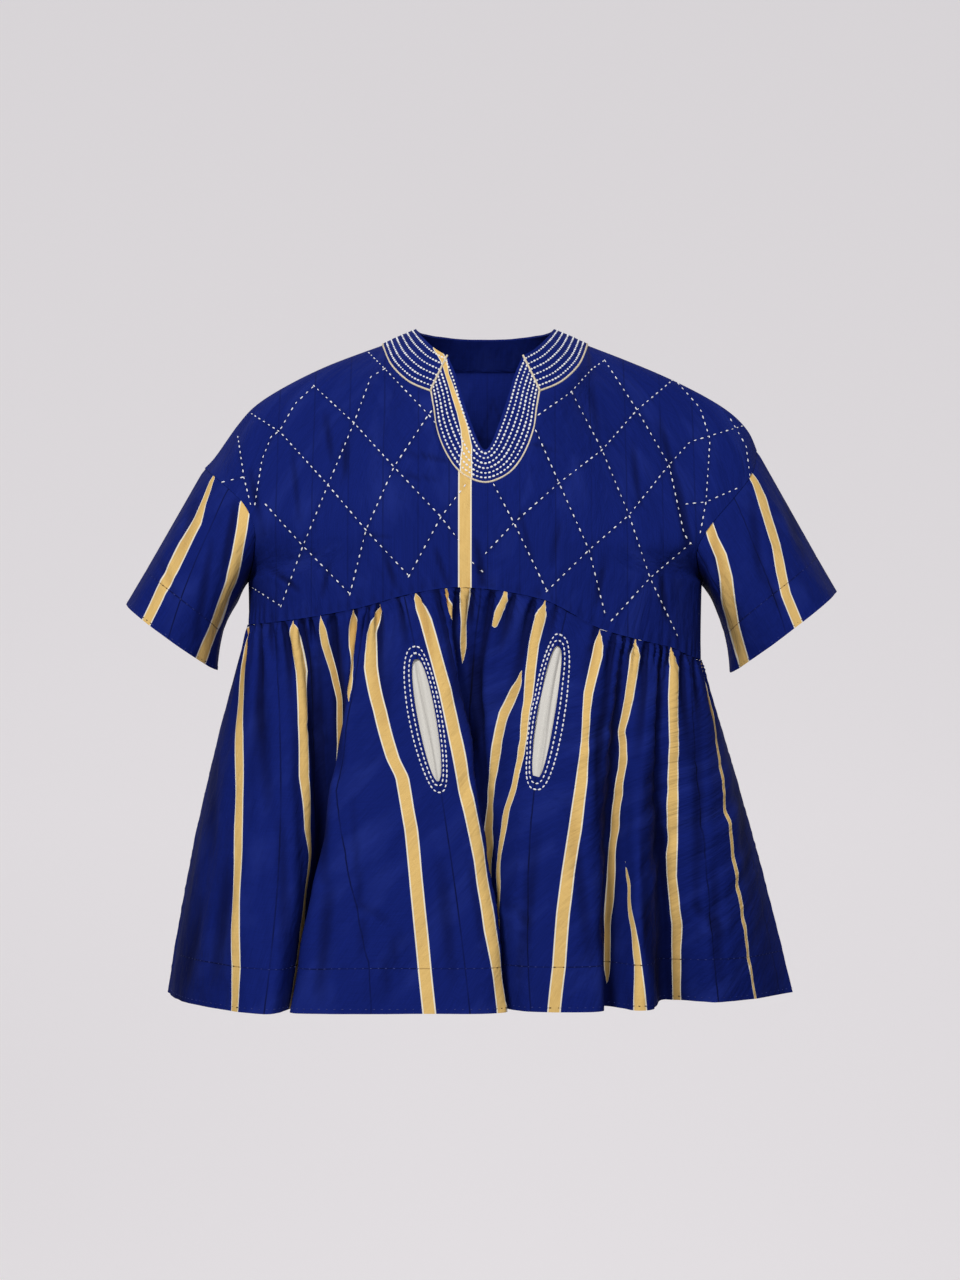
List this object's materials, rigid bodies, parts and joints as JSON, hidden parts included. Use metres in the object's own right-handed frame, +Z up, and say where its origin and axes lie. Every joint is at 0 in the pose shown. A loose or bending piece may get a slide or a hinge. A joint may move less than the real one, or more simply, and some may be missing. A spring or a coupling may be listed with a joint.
{
  "type": "fugu smock, worn, with quilted yoke and gathered skirt",
  "caption": "Hollow worn smock with quilted yoke, wide short striped sleeves, embroidered neck and V slit, and a gathered striped skirt with slit pockets.",
  "frame": {"origin": "the middle of the neck opening, level with the shoulders, where the wearer carries the smock", "axes": "+Z up, the smock's front faces -Y, +X towards the sleeve on the right seen from the front"},
  "size_m": [0.8298, 0.4224, 0.7758],
  "materials": {
    "cloth": "hand-loomed cotton with gold stripes, matt",
    "band": "blue cotton covered in white running stitches",
    "lining": "plain off-white cotton",
    "stitch": "white cotton embroidery thread",
    "piping": "cream cotton cord"
  },
  "bodies": {
    "root": {"yoke_front": "cloth", "yoke_back": "cloth", "sleeve_left": "cloth", "sleeve_right": "cloth", "skirt_front": "cloth", "skirt_back": "cloth", "neckband": "band", "placket": "band", "pocket_lining_left": "lining", "pocket_lining_right": "lining"}
  },
  "joints": []
}
